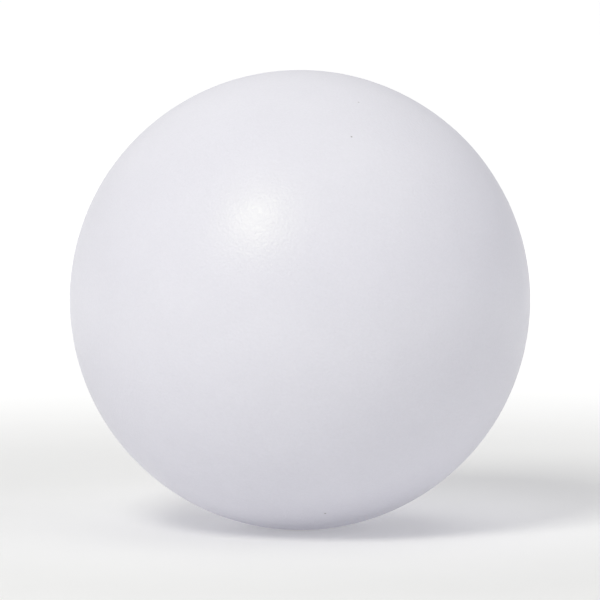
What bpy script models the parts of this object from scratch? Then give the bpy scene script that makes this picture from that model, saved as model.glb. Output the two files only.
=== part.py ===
"""A round foam stress ball, modelled in its mould layers.

Flexible polyurethane foam is poured into a two-part mould. The foam turns dense where it meets the
mould, which gives the ball a skin, and the stub left in the pour hole is trimmed off flat. The ball is
then spray painted with a thin elastic coat.

Metres, +Z up. The origin is the centre of the trimmed pour flat, which the ball rests on. The mould's
parting plane is the XZ plane through the ball's centre. The skin and the coat are cut there into a
front half, at -Y, and a back half, at +Y. Each half slides along Y towards the other: that slide
stands for the squeeze of the foam, and no piece of a real ball slides.
"""

import math

import bmesh
import bpy

# Driving dimensions.
BALL_DIAMETER = 0.070
POUR_FLAT_DIAMETER = 0.008
COAT_THICKNESS = 0.0002
SKIN_THICKNESS = 0.0012
FIT_GAP = 0.0003  # between touching pieces
PLUG_HEIGHT = 0.0035  # through the skin and into the core
PLUG_ROOT_BEVEL = 0.0004

# Fineness of the round shapes.
BALL_SEGMENTS = 48
DOME_STEPS = 12
GATE_SEGMENTS = 32
BEVEL_SEGMENTS = 2

# Worked out from the dimensions above.
COAT_RADIUS = BALL_DIAMETER / 2
SKIN_RADIUS = COAT_RADIUS - COAT_THICKNESS - FIT_GAP
CORE_RADIUS = SKIN_RADIUS - SKIN_THICKNESS - FIT_GAP
PLUG_RADIUS = POUR_FLAT_DIAMETER / 2
GATE_RADIUS = PLUG_RADIUS + FIT_GAP
CENTRE_HEIGHT = math.sqrt(COAT_RADIUS**2 - PLUG_RADIUS**2)
CUTTER_OVERRUN = 0.001  # how far the gate cutter starts below the ball

MERGE_DISTANCE = 0.00001
QUARTER_TURN = math.pi / 2


def clear_scene():
    for obj in list(bpy.data.objects):
        bpy.data.objects.remove(obj)


def new_collection(name):
    collection = bpy.data.collections.new(name)
    bpy.context.scene.collection.children.link(collection)
    return collection


def new_material(name, colour, roughness):
    """An opaque, non-metallic surface. The colour is linear red, green and blue."""
    material = bpy.data.materials.new(name)
    material.use_nodes = True
    shader = material.node_tree.nodes["Principled BSDF"]
    shader.inputs["Base Color"].default_value = (*colour, 1)
    shader.inputs["Roughness"].default_value = roughness
    shader.inputs["Metallic"].default_value = 0
    return material


def add_object(name, collection, mesh, material=None):
    obj = bpy.data.objects.new(name, mesh)
    collection.objects.link(obj)
    if material:
        mesh.materials.append(material)
    return obj


def finished_mesh(name, bm):
    mesh = bpy.data.meshes.new(name)
    bm.to_mesh(mesh)
    bm.free()
    return mesh


def arc(radius, start, end):
    """Points on an arc in the XZ plane, between two angles above the X axis."""
    turns = [start + (end - start) * step / DOME_STEPS for step in range(DOME_STEPS + 1)]
    return [(radius * math.cos(turn), 0, radius * math.sin(turn)) for turn in turns]


def dome_profile(outer_radius, thickness):
    """Half the section of a hollow dome about Z: down its outside, across its rim and up its inside.

    The rim is held half a gap above the parting plane, at the same height inside and out.
    """
    inner_radius = outer_radius - thickness
    outer_rim = math.asin(FIT_GAP / 2 / outer_radius)
    inner_rim = math.asin(FIT_GAP / 2 / inner_radius)
    return arc(outer_radius, QUARTER_TURN, outer_rim) + arc(inner_radius, inner_rim, QUARTER_TURN)


def profile_mesh(name, points):
    bm = bmesh.new()
    corners = [bm.verts.new(point) for point in points]
    for start, end in zip(corners, corners[1:]):
        bm.edges.new((start, end))
    return finished_mesh(name, bm)


def turn_about_z(obj):
    screw = obj.modifiers.new("turn", "SCREW")
    screw.axis = "Z"
    screw.angle = 2 * math.pi
    screw.steps = screw.render_steps = BALL_SEGMENTS
    screw.use_merge_vertices = True
    screw.merge_threshold = MERGE_DISTANCE
    screw.use_smooth_shade = True


def cut(obj, cutter):
    boolean = obj.modifiers.new("pour_hole", "BOOLEAN")
    boolean.operation = "DIFFERENCE"
    boolean.solver = "EXACT"
    boolean.object = cutter


def make_slide(name, collection):
    """The empty that carries one half. It sits on the squeeze axis, at the ball's centre."""
    slide = bpy.data.objects.new(name, None)
    slide.location = (0, 0, CENTRE_HEIGHT)
    collection.objects.link(slide)
    return slide


def make_half(name, collection, outer_radius, thickness, slide, turn, cutter, material):
    """One half of the skin or of the coat, with its half of the pour hole."""
    mesh = profile_mesh(name, dome_profile(outer_radius, thickness))
    half = add_object(name, collection, mesh, material)
    half.parent = slide
    half.rotation_euler = (turn, 0, 0)
    turn_about_z(half)
    cut(half, cutter)
    return half


def make_gate_cutter(collection):
    """The round hole that the pour stub fills, from below the ball into the core."""
    height = PLUG_HEIGHT + FIT_GAP + CUTTER_OVERRUN
    bm = bmesh.new()
    bmesh.ops.create_cone(
        bm,
        cap_ends=True,
        segments=GATE_SEGMENTS,
        radius1=GATE_RADIUS,
        radius2=GATE_RADIUS,
        depth=height,
    )
    cutter = add_object("pour_hole_cutter", collection, finished_mesh("pour_hole_cutter", bm))
    cutter.location = (0, 0, height / 2 - CUTTER_OVERRUN)
    cutter.hide_render = True
    cutter.display_type = "WIRE"
    return cutter


def make_foam_core(collection, cutter, material):
    """The soft inside of the ball, with a pocket where the pour stub grows out of it."""
    bm = bmesh.new()
    bmesh.ops.create_uvsphere(
        bm,
        u_segments=BALL_SEGMENTS,
        v_segments=BALL_SEGMENTS // 2,
        radius=CORE_RADIUS,
    )
    core = add_object("foam_core", collection, finished_mesh("foam_core", bm), material)
    core.location = (0, 0, CENTRE_HEIGHT)
    core.data.shade_smooth()
    cut(core, cutter)
    return core


def make_pour_plug(collection, material):
    """The pour stub. Its lower end is the trimmed flat, in the plane of the origin."""
    bm = bmesh.new()
    bmesh.ops.create_cone(
        bm,
        cap_ends=True,
        segments=GATE_SEGMENTS,
        radius1=PLUG_RADIUS,
        radius2=PLUG_RADIUS,
        depth=PLUG_HEIGHT,
    )
    top_edges = [edge for edge in bm.edges if all(vert.co.z > 0 for vert in edge.verts)]
    bmesh.ops.bevel(
        bm,
        geom=top_edges,
        offset=PLUG_ROOT_BEVEL,
        segments=BEVEL_SEGMENTS,
        profile=0.5,
        affect="EDGES",
    )
    plug = add_object("pour_plug", collection, finished_mesh("pour_plug", bm), material)
    plug.location = (0, 0, PLUG_HEIGHT / 2)
    return plug


def main():
    clear_scene()
    ball = new_collection("stress_ball")
    cutters = new_collection("cutters")

    paint = new_material("white_paint", (0.86, 0.86, 0.88), 0.45)
    skin = new_material("foam_skin", (0.78, 0.76, 0.70), 0.6)
    foam = new_material("soft_foam", (0.80, 0.77, 0.68), 0.9)

    gate = make_gate_cutter(cutters)
    make_foam_core(ball, gate, foam)
    make_pour_plug(ball, foam)

    for side, turn in (("front", QUARTER_TURN), ("back", -QUARTER_TURN)):
        slide = make_slide(side + "_slide", ball)
        make_half(side + "_skin", ball, SKIN_RADIUS, SKIN_THICKNESS, slide, turn, gate, skin)
        make_half(side + "_paint_coat", ball, COAT_RADIUS, COAT_THICKNESS, slide, turn, gate, paint)


main()
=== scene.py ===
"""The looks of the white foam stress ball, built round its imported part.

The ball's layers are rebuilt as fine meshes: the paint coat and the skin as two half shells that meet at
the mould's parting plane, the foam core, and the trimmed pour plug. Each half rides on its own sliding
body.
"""

import math

import bmesh
import bpy
from mathutils import Matrix, Vector, noise


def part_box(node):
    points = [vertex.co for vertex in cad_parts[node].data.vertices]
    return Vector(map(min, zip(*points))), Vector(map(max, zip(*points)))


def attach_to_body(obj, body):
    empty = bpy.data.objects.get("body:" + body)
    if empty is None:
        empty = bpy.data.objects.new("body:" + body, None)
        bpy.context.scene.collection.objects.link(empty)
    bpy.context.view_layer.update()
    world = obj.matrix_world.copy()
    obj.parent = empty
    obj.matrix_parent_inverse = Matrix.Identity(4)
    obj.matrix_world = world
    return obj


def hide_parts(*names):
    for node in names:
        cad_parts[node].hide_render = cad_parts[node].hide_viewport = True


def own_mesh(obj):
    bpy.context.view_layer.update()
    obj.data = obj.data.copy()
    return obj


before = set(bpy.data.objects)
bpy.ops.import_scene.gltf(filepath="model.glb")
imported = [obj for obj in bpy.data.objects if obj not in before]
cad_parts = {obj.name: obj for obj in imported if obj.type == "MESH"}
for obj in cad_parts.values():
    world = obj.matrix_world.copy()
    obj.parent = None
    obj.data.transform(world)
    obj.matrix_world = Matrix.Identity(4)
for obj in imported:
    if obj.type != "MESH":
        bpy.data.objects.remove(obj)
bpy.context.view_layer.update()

# ---------------------------------------------------------------- sizes, from the frame, in metres

BALL_RADIUS = -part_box("front_paint_coat")[0].y
SKIN_RADIUS = -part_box("front_skin")[0].y
CORE_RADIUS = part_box("foam_core")[1].x
PLUG_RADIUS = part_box("pour_plug")[1].x
PLUG_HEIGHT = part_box("pour_plug")[1].z
CENTRE = Vector((0, 0, math.sqrt(BALL_RADIUS**2 - PLUG_RADIUS**2)))

# ---------------------------------------------------------------- layers, in metres

COAT_THICKNESS = 0.00020
LAYER_CLEARANCE = 0.00002
PLUG_CLEARANCE = 0.00004

# Relief of the coat. The skin under it shares its waves.
WAVE_SIZE, WAVE_HEIGHT = 0.013, 0.000016
PEEL_SIZE, PEEL_HEIGHT = 0.0021, 0.0000022
BEAD_HEIGHT, BEAD_HALF_WIDTH = 0.000070, 0.00022  # along the parting line
BEAD_BREAK_SIZE, BEAD_BREAK = 0.004, 0.35  # how far apart and how much its height varies
BEAD_FADE = 0.003  # where it runs out beside the pour flat

# Relief of the skin.
SKIN_ROUGH_SIZE, SKIN_ROUGH_HEIGHT, SKIN_ROUGH_OCTAVES = 0.0015, 0.000004, 3
SKIN_ROUGH_FALL, SKIN_ROUGH_STEP = 1.0, 2.0  # how much lower and smaller each finer octave is
SKIN_INSET = 0.000006  # keeps the rough skin under the coat

# Open cells of the foam core and of the plug's trimmed face.
CORE_CELL, CORE_CELL_DEPTH = 0.0022, 0.00022
CUT_CELL, CUT_CELL_DEPTH = 0.0007, 0.00009
CELL_WALL = 0.45  # share of a cell's width that its wall slopes over

# The plug's small lower chamfer: its height, and its width as a share of that.
PLUG_EDGE, PLUG_EDGE_LEAN = 0.00012, 0.3
PLUG_ROOT_EDGE = 3 * PLUG_EDGE

# ---------------------------------------------------------------- fineness of the meshes

# Quads along the edge of the cube that each ball is rounded from.
COAT_QUADS, SKIN_QUADS, CORE_QUADS = 112, 64, 88
# Extra rows of points, in metres from the parting plane and from the edge of the pour hole.
PARTING_ROWS = (0.00007, 0.00015, 0.00024, 0.00035, 0.00050)
FLAT_EDGE_ROWS = (0.00008, 0.00020)
PLUG_SPOKES, PLUG_FACE_RINGS, PLUG_ROOT_RINGS = 120, 26, 8
HAIR = 1e-7  # a distance too small to matter, in metres
CUT_TOLERANCE = 1e-8


# ---------------------------------------------------------------- shader helpers

class Shader:
    """A material with a Principled BSDF, and short calls to build its node tree."""

    def __init__(self, name):
        self.material = bpy.data.materials.new(name)
        self.material.use_nodes = True
        self.tree = self.material.node_tree
        self.principled = self.tree.nodes["Principled BSDF"]
        self.place = self.tree.nodes.new("ShaderNodeTexCoord").outputs["Object"]

    def node(self, kind, **settings):
        made = self.tree.nodes.new(kind)
        for name, value in settings.items():
            setattr(made, name, value)
        return made

    def link(self, output, socket):
        self.tree.links.new(output, socket)

    def set(self, **values):
        for name, value in values.items():
            self.principled.inputs[name.replace("_", " ")].default_value = value

    def drive(self, socket, output):
        self.link(output, self.principled.inputs[socket])

    def noise(self, size, detail=2.0, roughness=0.5):
        """Noise whose lumps are about size metres across, from 0 to 1."""
        made = self.node("ShaderNodeTexNoise")
        made.inputs["Scale"].default_value = 1 / size
        made.inputs["Detail"].default_value = detail
        made.inputs["Roughness"].default_value = roughness
        self.link(self.place, made.inputs["Vector"])
        return made.outputs["Fac"]

    def cells(self, size, feature="F1"):
        """Distance to the nearest cell centre, or to its edge, in cell widths of about size metres."""
        made = self.node("ShaderNodeTexVoronoi", feature=feature)
        made.inputs["Scale"].default_value = 1 / size
        self.link(self.place, made.inputs["Vector"])
        return made.outputs["Distance"]

    def ramp(self, value, low, high, to_low=0.0, to_high=1.0, smooth=False):
        """The value, with low to high stretched onto to_low to to_high and held there beyond them."""
        made = self.node("ShaderNodeMapRange")
        made.interpolation_type = "SMOOTHSTEP" if smooth else "LINEAR"
        made.clamp = True
        for name, number in (
            ("From Min", low), ("From Max", high), ("To Min", to_low), ("To Max", to_high),
        ):
            made.inputs[name].default_value = number
        self.link(value, made.inputs["Value"])
        return made.outputs["Result"]

    def sum(self, *terms):
        """The sum of (output, factor) pairs."""
        total = None
        for output, factor in terms:
            scaled = self.node("ShaderNodeMath", operation="MULTIPLY")
            self.link(output, scaled.inputs[0])
            scaled.inputs[1].default_value = factor
            if total is None:
                total = scaled.outputs[0]
                continue
            added = self.node("ShaderNodeMath", operation="ADD")
            self.link(total, added.inputs[0])
            self.link(scaled.outputs[0], added.inputs[1])
            total = added.outputs[0]
        return total

    def mix(self, factor, low, high):
        """A colour between low and high. Each is a colour or an output."""
        made = self.node("ShaderNodeMix", data_type="RGBA")
        self.link(factor, made.inputs[0])
        for socket, colour in ((made.inputs[6], low), (made.inputs[7], high)):
            if isinstance(colour, tuple):
                socket.default_value = (*colour, 1)
            else:
                self.link(colour, socket)
        return made.outputs[2]

    def scale(self, colour, factor):
        """The colour times a number that varies over the surface."""
        made = self.node("ShaderNodeVectorMath", operation="SCALE")
        self.link(colour, made.inputs[0])
        self.link(factor, made.inputs["Scale"])
        return made.outputs[0]

    def bump(self, height, depth):
        """Bump whose height output of 1 stands depth metres proud."""
        made = self.node("ShaderNodeBump")
        made.inputs["Strength"].default_value = 1
        made.inputs["Distance"].default_value = depth
        self.link(height, made.inputs["Height"])
        self.drive("Normal", made.outputs["Normal"])


# ---------------------------------------------------------------- materials

# Sizes and depths are in metres. Noise ranges are the parts of noise's 0 to 1 that are spread out.

PAINT_WHITE = (0.765, 0.757, 0.838)
PAINT_THIN = (0.755, 0.747, 0.828)
PAINT_MOTTLE_SIZE, PAINT_MOTTLE_RANGE = 0.009, (0.38, 0.66)
PAINT_SPECKLE_SIZE, PAINT_SPECKLE_RANGE = 0.00036, (0.34, 0.66)
PAINT_SPECKLE = 0.008  # how much lighter or darker a speckle is
PAINT_FLECK = (0.36, 0.35, 0.36)
PAINT_FLECK_SPACING, PAINT_FLECK_RIM = 0.0105, (0.012, 0.022)  # the rim is in shares of the spacing
PAINT_DULL_SIZE, PAINT_FINE_SIZE, PAINT_DULL_RANGE = 0.0060, 0.00055, (0.34, 0.66)
PAINT_ROUGHNESS = (0.33, 0.45)
PAINT_GRAIN_SIZE, PAINT_GRAIN_DEPTH = 0.00038, 0.000045
PAINT_IOR = 1.48
PAINT_GLOSS_TINT = (0.88, 0.92, 0.66)

SKIN_DARK_CREAM, SKIN_LIGHT_CREAM = (0.74, 0.71, 0.63), (0.80, 0.78, 0.72)
SKIN_TONE_SIZE, TONE_RANGE = 0.006, (0.35, 0.65)
# The pinholes' colour: painted shade inside the pores, darker than the cream skin.
SKIN_PORE_SHADE = (0.50, 0.46, 0.38)
SKIN_PORE_SPACING, SKIN_PORE_RIM = 0.0011, (0.08, 0.20)
SKIN_DULL_SIZE, SKIN_ROUGHNESS = 0.0015, (0.55, 0.75)
SKIN_GRAIN_SIZE, SKIN_GRAIN, SKIN_BUMP_DEPTH = 0.0007, 0.8, 0.00006

FOAM_DARK_WALL, FOAM_LIGHT_WALL = (0.78, 0.74, 0.64), (0.84, 0.81, 0.73)
# The open cells' colour: painted shade deep in the cells, darker than their walls.
FOAM_CELL_SHADE = (0.58, 0.53, 0.43)
FOAM_TONE_SIZE, FOAM_WALL_RANGE = 0.009, (0.03, 0.30)
FOAM_DULL_SIZE, FOAM_ROUGHNESS = 0.002, (0.82, 0.97)
FOAM_GRAIN = 0.5  # beside a cell's depth, in lumps a third of its width
CORE_SHADER_CELL, CORE_SHADER_DEPTH = 0.0011, 0.00018
CUT_SHADER_CELL, CUT_SHADER_DEPTH = 0.00045, 0.00008
DULL_RANGE = (0.3, 0.7)


def paint_shader(name):
    """Sprayed elastic paint: white and satin, with a fine grain, faint mottles and a rare dust fleck."""
    s = Shader(name)
    patches = s.noise(PAINT_MOTTLE_SIZE, detail=4.0, roughness=0.55)
    mottle = s.ramp(patches, *PAINT_MOTTLE_RANGE, smooth=True)
    base = s.mix(mottle, PAINT_THIN, PAINT_WHITE)
    speckle = s.ramp(s.noise(PAINT_SPECKLE_SIZE, detail=1.5), *PAINT_SPECKLE_RANGE)
    dimmer = s.ramp(speckle, 0.0, 1.0, 1.0 - PAINT_SPECKLE, 1.0 + PAINT_SPECKLE)
    speckled = s.scale(base, dimmer)
    fleck = s.ramp(s.cells(PAINT_FLECK_SPACING), *PAINT_FLECK_RIM, to_low=1.0, to_high=0.0)
    s.drive("Base Color", s.mix(fleck, speckled, PAINT_FLECK))

    dull = s.noise(PAINT_DULL_SIZE, detail=2.0)
    fine = s.noise(PAINT_FINE_SIZE, detail=1.0)
    s.drive("Roughness", s.ramp(s.sum((dull, 0.5), (fine, 0.5)), *PAINT_DULL_RANGE, *PAINT_ROUGHNESS))

    s.bump(s.noise(PAINT_GRAIN_SIZE, detail=0.0), PAINT_GRAIN_DEPTH)
    s.set(IOR=PAINT_IOR, Specular_Tint=(*PAINT_GLOSS_TINT, 1))
    return s.material


def skin_shader(name):
    """Dense moulded foam: creamy and dull, with pinhole pores darkened by painted shade."""
    s = Shader(name)
    tone = s.ramp(s.noise(SKIN_TONE_SIZE, detail=4.0), *TONE_RANGE)
    cream = s.mix(tone, SKIN_DARK_CREAM, SKIN_LIGHT_CREAM)
    pore = s.ramp(s.cells(SKIN_PORE_SPACING), *SKIN_PORE_RIM)
    # The pores' hollows are painted darker: painted shade.
    s.drive("Base Color", s.mix(pore, SKIN_PORE_SHADE, cream))
    s.drive("Roughness", s.ramp(s.noise(SKIN_DULL_SIZE), *DULL_RANGE, *SKIN_ROUGHNESS))
    grain = s.noise(SKIN_GRAIN_SIZE, detail=3.0)
    s.bump(s.sum((pore, 1.0), (grain, SKIN_GRAIN)), SKIN_BUMP_DEPTH)
    return s.material


def foam_shader(name, cell_size, depth):
    """Cut or torn open-cell foam: pale walls round open cells darkened by painted shade."""
    s = Shader(name)
    opening = s.ramp(s.cells(cell_size, feature="DISTANCE_TO_EDGE"), *FOAM_WALL_RANGE)
    tone = s.ramp(s.noise(FOAM_TONE_SIZE, detail=3.0), *TONE_RANGE)
    walls = s.mix(tone, FOAM_DARK_WALL, FOAM_LIGHT_WALL)
    # The open cells between the walls are painted darker: painted shade.
    s.drive("Base Color", s.mix(opening, walls, FOAM_CELL_SHADE))
    s.drive("Roughness", s.ramp(s.noise(FOAM_DULL_SIZE), *DULL_RANGE, *FOAM_ROUGHNESS))
    grain = s.noise(cell_size / 3, detail=2.0)
    s.bump(s.sum((opening, -1.0), (grain, FOAM_GRAIN)), depth)
    return s.material


# ---------------------------------------------------------------- mesh helpers

def rounded_cube(radius, quads):
    """A ball of even quads: a finely cut cube, pushed out onto a sphere round the origin."""
    bm = bmesh.new()
    bmesh.ops.create_cube(bm, size=2)
    bmesh.ops.subdivide_edges(bm, edges=bm.edges[:], cuts=quads - 1, use_grid_fill=True)
    for vert in bm.verts:
        even = Vector([math.tan(part * math.pi / 4) for part in vert.co])
        vert.co = even.normalized() * radius
    return bm


def everything(bm):
    return bm.verts[:] + bm.edges[:] + bm.faces[:]


def cut_at(bm, place, normal, clear=False):
    """Cuts the mesh along a plane, and drops what lies past it, along the normal, if clear is set."""
    bmesh.ops.bisect_plane(
        bm, geom=everything(bm), dist=CUT_TOLERANCE, plane_co=place, plane_no=normal, clear_outer=clear
    )


def open_half(radius, quads, side):
    """The open half ball on one side (-1 front, 1 back) of the parting plane, open at the pour hole.

    Extra rows run close beside the parting plane and round the hole, where the surface turns quickly.
    """
    bm = rounded_cube(radius, quads)
    cut_at(bm, (0, 0, 0), (0, -side, 0), clear=True)
    for offset in PARTING_ROWS:
        cut_at(bm, (0, side * offset, 0), (0, side, 0))
    hole_height = -math.sqrt(radius**2 - PLUG_RADIUS**2)
    for offset in FLAT_EDGE_ROWS:
        wider = PLUG_RADIUS + offset
        cut_at(bm, (0, 0, -math.sqrt(radius**2 - wider**2)), (0, 0, -1))
    cut_at(bm, (0, 0, hole_height), (0, 0, -1), clear=True)
    for vert in bm.verts:
        on_edge = abs(vert.co.y) < HAIR or abs(vert.co.z - hole_height) < HAIR
        if not on_edge:
            vert.co = vert.co.normalized() * radius
    return bm


def push_out(bm, relief):
    """Moves each point away from the ball's centre by relief(point)."""
    for vert in bm.verts:
        vert.co += vert.co.normalized() * relief(vert.co)


def thicken(bm, thickness):
    """Closes an open shell round the origin: a copy nearer the centre, joined to it round the edge."""
    edge = [e for e in bm.edges if e.is_boundary]
    copy = bmesh.ops.duplicate(bm, geom=everything(bm))
    inner = [item for item in copy["geom"] if isinstance(item, bmesh.types.BMVert)]
    for vert in inner:
        vert.co -= vert.co.normalized() * thickness
    faces = [item for item in copy["geom"] if isinstance(item, bmesh.types.BMFace)]
    bmesh.ops.reverse_faces(bm, faces=faces)
    inner_edge = [copy["edge_map"][e] for e in edge]
    bmesh.ops.bridge_loops(bm, edges=edge + inner_edge)


def add_piece(name, bm, material, sharp_angle=40):
    """Makes the object from a mesh round the origin, which is moved up to the ball's centre."""
    bmesh.ops.recalc_face_normals(bm, faces=bm.faces[:])
    mesh = bpy.data.meshes.new(name)
    bm.to_mesh(mesh)
    bm.free()
    mesh.transform(Matrix.Translation(CENTRE))
    mesh.materials.append(material)
    mesh.shade_smooth()
    mesh.set_sharp_from_angle(angle=math.radians(sharp_angle))
    obj = bpy.data.objects.new(name, mesh)
    bpy.context.scene.collection.objects.link(obj)
    return obj


# ---------------------------------------------------------------- the ball's layers

def coat_relief(point):
    """The moulded ball's slight unevenness, the paint's orange peel and the parting line's bead."""
    wave = noise.noise(point / WAVE_SIZE) * WAVE_HEIGHT
    peel = noise.noise(point / PEEL_SIZE) * PEEL_HEIGHT
    broken = 1 - BEAD_BREAK + BEAD_BREAK * noise.noise(point / BEAD_BREAK_SIZE)
    bead = BEAD_HEIGHT * broken * math.exp(-(point.y / BEAD_HALF_WIDTH) ** 2)
    if point.z < 0:
        from_flat = math.hypot(point.x, point.y) - PLUG_RADIUS
        bead *= min(1, max(0, from_flat / BEAD_FADE))
    return wave + peel + bead


def skin_relief(point):
    """The skin follows the coat's waves, and is a little rougher."""
    wave = noise.noise(point / WAVE_SIZE) * WAVE_HEIGHT
    place = point / SKIN_ROUGH_SIZE
    rough = noise.fractal(place, SKIN_ROUGH_FALL, SKIN_ROUGH_STEP, SKIN_ROUGH_OCTAVES)
    return wave + rough * SKIN_ROUGH_HEIGHT - SKIN_INSET


def cell_relief(point, size, depth):
    """Open cells: hollows up to depth deep, between ridges where two cells meet."""
    distances, _ = noise.voronoi(point / size)
    hollow = min(1.0, (distances[1] - distances[0]) / CELL_WALL)
    return -depth * hollow


def make_shell_half(name, side, radius, thickness, quads, relief, material):
    bm = open_half(radius, quads, side)
    push_out(bm, relief)
    thicken(bm, thickness)
    return add_piece(name, bm, material)


def make_core(name, radius, material):
    """The foam core, with the round pocket that the pour plug grows out of."""
    pocket_radius = PLUG_RADIUS + LAYER_CLEARANCE
    rim_height = -math.sqrt(radius**2 - pocket_radius**2)
    ceiling_height = PLUG_HEIGHT + LAYER_CLEARANCE - CENTRE.z
    bm = rounded_cube(radius, CORE_QUADS)
    cut_at(bm, (0, 0, rim_height), (0, 0, -1), clear=True)
    rim = [vert for vert in bm.verts if vert.is_boundary]
    rim.sort(key=lambda vert: math.atan2(vert.co.y, vert.co.x))
    for vert in rim:
        outwards = Vector((vert.co.x, vert.co.y, 0)).normalized() * pocket_radius
        vert.co = outwards + Vector((0, 0, rim_height))

    def relief(point):
        return cell_relief(point, CORE_CELL, CORE_CELL_DEPTH) if point.z > rim_height + HAIR else 0

    push_out(bm, relief)
    ceiling = [bm.verts.new((vert.co.x, vert.co.y, ceiling_height)) for vert in rim]
    for place in range(len(rim)):
        bm.faces.new((rim[place - 1], rim[place], ceiling[place], ceiling[place - 1]))
    bm.faces.new(ceiling)
    return add_piece(name, bm, material, sharp_angle=75)


def plug_section(radius):
    """Distance from the axis and height of each ring, from the middle of the trimmed face to the top's."""
    face = [(radius * step / PLUG_FACE_RINGS, 0.0) for step in range(1, PLUG_FACE_RINGS)]
    side = [
        (radius - PLUG_EDGE * PLUG_EDGE_LEAN, 0.0),
        (radius, PLUG_EDGE),
        (radius, PLUG_HEIGHT - PLUG_ROOT_EDGE),
        (radius - PLUG_ROOT_EDGE, PLUG_HEIGHT),
    ]
    root = [(radius * step / PLUG_ROOT_RINGS, PLUG_HEIGHT) for step in range(PLUG_ROOT_RINGS - 1, 0, -1)]
    return face + side + root


def make_plug(name, material):
    """The trimmed stub: a short round post whose lower face is cut foam, open in small cells."""
    radius = PLUG_RADIUS - PLUG_CLEARANCE
    turns = [2 * math.pi * spoke / PLUG_SPOKES for spoke in range(PLUG_SPOKES)]
    bm = bmesh.new()
    rows = []
    for distance, height in plug_section(radius):
        rows.append(
            [bm.verts.new((distance * math.cos(turn), distance * math.sin(turn), height)) for turn in turns]
        )
    for lower, upper in zip(rows, rows[1:]):
        for spoke in range(PLUG_SPOKES):
            after = (spoke + 1) % PLUG_SPOKES
            bm.faces.new((lower[spoke], lower[after], upper[after], upper[spoke]))
    for row, height in ((rows[0], 0.0), (rows[-1], PLUG_HEIGHT)):
        middle = bm.verts.new((0, 0, height))
        for spoke in range(PLUG_SPOKES):
            bm.faces.new((middle, row[spoke], row[(spoke + 1) % PLUG_SPOKES]))
    bmesh.ops.recalc_face_normals(bm, faces=bm.faces[:])
    for vert in bm.verts:
        inside = math.hypot(vert.co.x, vert.co.y) < radius - 2 * PLUG_EDGE
        if vert.co.z < HAIR and inside:
            vert.co.z = -cell_relief(vert.co, CUT_CELL, CUT_CELL_DEPTH)
    bmesh.ops.translate(bm, verts=bm.verts[:], vec=-CENTRE)
    return add_piece(name, bm, material)


def attach(piece, body, node):
    """Rides the piece on its body, gives it a mesh of its own and hides the CAD part that it stands for."""
    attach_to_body(piece, body)
    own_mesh(piece)
    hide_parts(node)


def build_ball():
    coat_paint = paint_shader("sprayed_white_paint")
    skin_foam = skin_shader("dense_foam_skin")
    core_foam = foam_shader("open_cell_foam", CORE_SHADER_CELL, CORE_SHADER_DEPTH)
    cut_foam = foam_shader("trimmed_foam", CUT_SHADER_CELL, CUT_SHADER_DEPTH)
    skin_outer = BALL_RADIUS - COAT_THICKNESS - LAYER_CLEARANCE
    skin_thickness = SKIN_RADIUS - CORE_RADIUS - LAYER_CLEARANCE
    core_radius = skin_outer - skin_thickness - 2 * LAYER_CLEARANCE

    for side, word in ((-1, "front"), (1, "back")):
        body, joint = word + "_half", "squeeze_" + word
        coat = make_shell_half(
            word + "_coat_look", side, BALL_RADIUS, COAT_THICKNESS, COAT_QUADS, coat_relief, coat_paint
        )
        attach(coat, body, word + "_paint_coat")
        skin = make_shell_half(
            word + "_skin_look", side, skin_outer, skin_thickness, SKIN_QUADS, skin_relief, skin_foam
        )
        attach(skin, body, word + "_skin")

    core = make_core("foam_core_look", core_radius, core_foam)
    attach(core, "core", "foam_core")
    plug = make_plug("pour_plug_look", cut_foam)
    attach(plug, "core", "pour_plug")


# ---------------------------------------------------------------- floor, world, lamp and camera

# Lengths are in metres and angles in degrees. Azimuth 0 is the camera's side, and 90 is +X.

CAMERA_DISTANCE, CAMERA_ELEVATION = 1.0, 5.0
CAMERA_CLIP = (0.05, 60)
BALL_SHARE = 0.767  # of the picture's width
SENSOR_WIDTH = 36.0  # in millimetres

FLOOR_HALF_WIDTH = 12
FLOOR_DROP = 0.00005  # below the ball's flat
FLOOR_PALE, FLOOR_PALER = (0.85, 0.85, 0.86), (0.87, 0.87, 0.88)
FLOOR_PATCH_SIZE = 0.02
FLOOR_ROUGHNESS, FLOOR_SPECULAR = 0.9, 0.1
# The floor's own glow: distances from the middle of the pour flat, and strengths. It lights the ball
# softly from below, and is weakest where the ball's shadow lies.
FLOOR_GLOW = ((0.010, 0.2), (0.022, 0.1), (0.08, 0.0), (0.25, 0.28), (0.5, 0.4))

ROOM_GLOW = 0.1
# Broad glows on the room's walls: azimuth, elevation, narrowness and strength.
ROOM_LOBES = (
    (180, 45, 3, 0.7),
    (-140, 25, 4, 0.4),
    (60, 60, 5, 0.95),
    (80, 40, 3, 0.15),
    (-60, 5, 4, 0.7),
)
HORIZON_GLOW = 1.0
HORIZON_FADE = (0.03, 0.12)  # sines of the elevations that it fades between

# The one lamp, a square soft box.
KEY_AZIMUTH, KEY_ELEVATION, KEY_DISTANCE = -27.5, 43.5, 1.3
KEY_WIDTH, KEY_RADIANCE = 0.42, 12.5
KEY_COLOUR = (1.0, 1.0, 0.92)


def direction(azimuth, elevation):
    """The unit vector from the ball towards an azimuth and an elevation."""
    a, e = math.radians(azimuth), math.radians(elevation)
    return Vector((math.sin(a) * math.cos(e), -math.cos(a) * math.cos(e), math.sin(e)))


def aim_at_ball(obj, azimuth, elevation, distance):
    out = direction(azimuth, elevation)
    obj.location = CENTRE + out * distance
    obj.rotation_mode = "QUATERNION"
    obj.rotation_quaternion = out.to_track_quat("Z", "Y")
    bpy.context.scene.collection.objects.link(obj)


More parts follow.
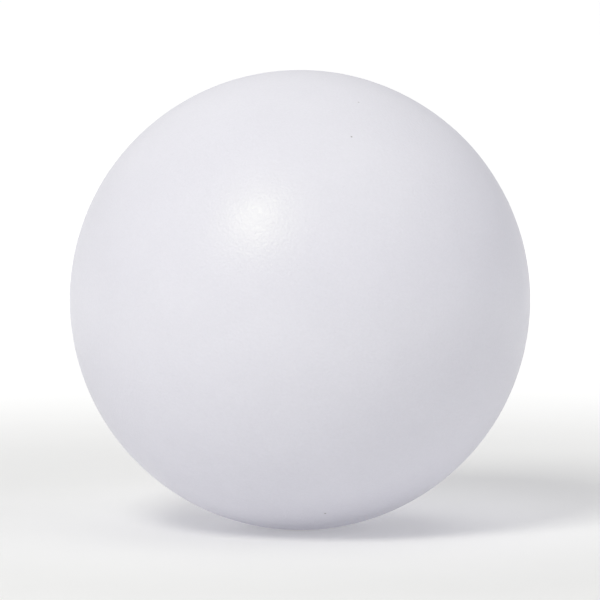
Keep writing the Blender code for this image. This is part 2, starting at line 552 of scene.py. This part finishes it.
def make_floor():
    """A pale, dull floor whose glow fades round the ball."""
    bm = bmesh.new()
    bmesh.ops.create_grid(bm, x_segments=2, y_segments=2, size=FLOOR_HALF_WIDTH)
    mesh = bpy.data.meshes.new("floor")
    bm.to_mesh(mesh)
    bm.free()
    s = Shader("pale_floor")
    s.set(Roughness=FLOOR_ROUGHNESS, Specular_IOR_Level=FLOOR_SPECULAR, Emission_Strength=1.0)
    away = s.node("ShaderNodeVectorMath", operation="LENGTH")
    s.link(s.place, away.inputs[0])
    farthest = FLOOR_GLOW[-1][0]
    glow = s.node("ShaderNodeValToRGB")
    glow.color_ramp.interpolation = "EASE"
    stops = glow.color_ramp.elements
    while len(stops) < len(FLOOR_GLOW):
        stops.new(1.0)
    for stop, (distance, strength) in zip(stops, FLOOR_GLOW):
        stop.position = distance / farthest
        stop.color = (strength, strength, strength, 1)
    s.link(s.ramp(away.outputs["Value"], 0, farthest), glow.inputs[0])
    s.drive("Emission Color", glow.outputs[0])
    s.drive("Base Color", s.mix(s.noise(FLOOR_PATCH_SIZE, detail=3.0), FLOOR_PALE, FLOOR_PALER))
    mesh.materials.append(s.material)
    floor = bpy.data.objects.new("floor", mesh)
    floor.location = (0, 0, -FLOOR_DROP)
    bpy.context.scene.collection.objects.link(floor)


def make_world():
    """A pale studio: a little even light all round, broad glows on the walls and a white horizon."""
    world = bpy.data.worlds.new("pale_studio")
    world.use_nodes = True
    tree = world.node_tree
    background = tree.nodes["Background"]
    background.inputs["Strength"].default_value = 1.0

    def math_node(operation, first, second):
        made = tree.nodes.new("ShaderNodeMath")
        made.operation = operation
        for socket, value in zip(made.inputs, (first, second)):
            if isinstance(value, (int, float)):
                socket.default_value = value
            else:
                tree.links.new(value, socket)
        return made.outputs[0]

    place = tree.nodes.new("ShaderNodeTexCoord").outputs["Generated"]
    glow = None
    for azimuth, elevation, narrowness, strength in ROOM_LOBES:
        turn = tree.nodes.new("ShaderNodeVectorMath")
        turn.operation = "DOT_PRODUCT"
        turn.inputs[1].default_value = direction(azimuth, elevation)
        tree.links.new(place, turn.inputs[0])
        lobe = math_node("POWER", math_node("MAXIMUM", turn.outputs["Value"], 0.0), narrowness)
        glow = math_node("ADD", math_node("MULTIPLY", lobe, strength), glow or ROOM_GLOW)
    split = tree.nodes.new("ShaderNodeSeparateXYZ")
    tree.links.new(place, split.inputs[0])
    height = math_node("ABSOLUTE", split.outputs["Z"], 0.0)
    horizon = tree.nodes.new("ShaderNodeMapRange")
    horizon.interpolation_type = "SMOOTHSTEP"
    fade_from, fade_to = HORIZON_FADE
    for name, number in (
        ("From Min", fade_from), ("From Max", fade_to), ("To Min", 1.0), ("To Max", 0.0),
    ):
        horizon.inputs[name].default_value = number
    tree.links.new(height, horizon.inputs["Value"])
    mix = tree.nodes.new("ShaderNodeMix")
    mix.data_type = "RGBA"
    tree.links.new(horizon.outputs["Result"], mix.inputs[0])
    tree.links.new(glow, mix.inputs[6])
    mix.inputs[7].default_value = (HORIZON_GLOW, HORIZON_GLOW, HORIZON_GLOW, 1)
    tree.links.new(mix.outputs[2], background.inputs["Color"])
    bpy.context.scene.world = world


def make_key():
    """The soft box, above and to the left of the camera."""
    light = bpy.data.lights.new("key", "AREA")
    light.shape = "RECTANGLE"
    light.size = light.size_y = KEY_WIDTH
    light.energy = KEY_RADIANCE * math.pi * KEY_WIDTH * KEY_WIDTH
    light.color = KEY_COLOUR
    lamp = bpy.data.objects.new("key", light)
    aim_at_ball(lamp, KEY_AZIMUTH, KEY_ELEVATION, KEY_DISTANCE)


def make_camera():
    """The camera looks at the ball's centre, with the lens that makes the ball the right size."""
    data = bpy.data.cameras.new("camera")
    outline = math.asin(BALL_RADIUS / CAMERA_DISTANCE)
    data.sensor_width = SENSOR_WIDTH
    data.lens = SENSOR_WIDTH / 2 * BALL_SHARE / math.tan(outline)
    data.clip_start, data.clip_end = CAMERA_CLIP
    camera = bpy.data.objects.new("camera", data)
    aim_at_ball(camera, 0, CAMERA_ELEVATION, CAMERA_DISTANCE)
    bpy.context.scene.camera = camera


def main():
    build_ball()
    make_floor()
    make_world()
    make_key()
    make_camera()
    bpy.context.scene.view_settings.view_transform = "Standard"


main()
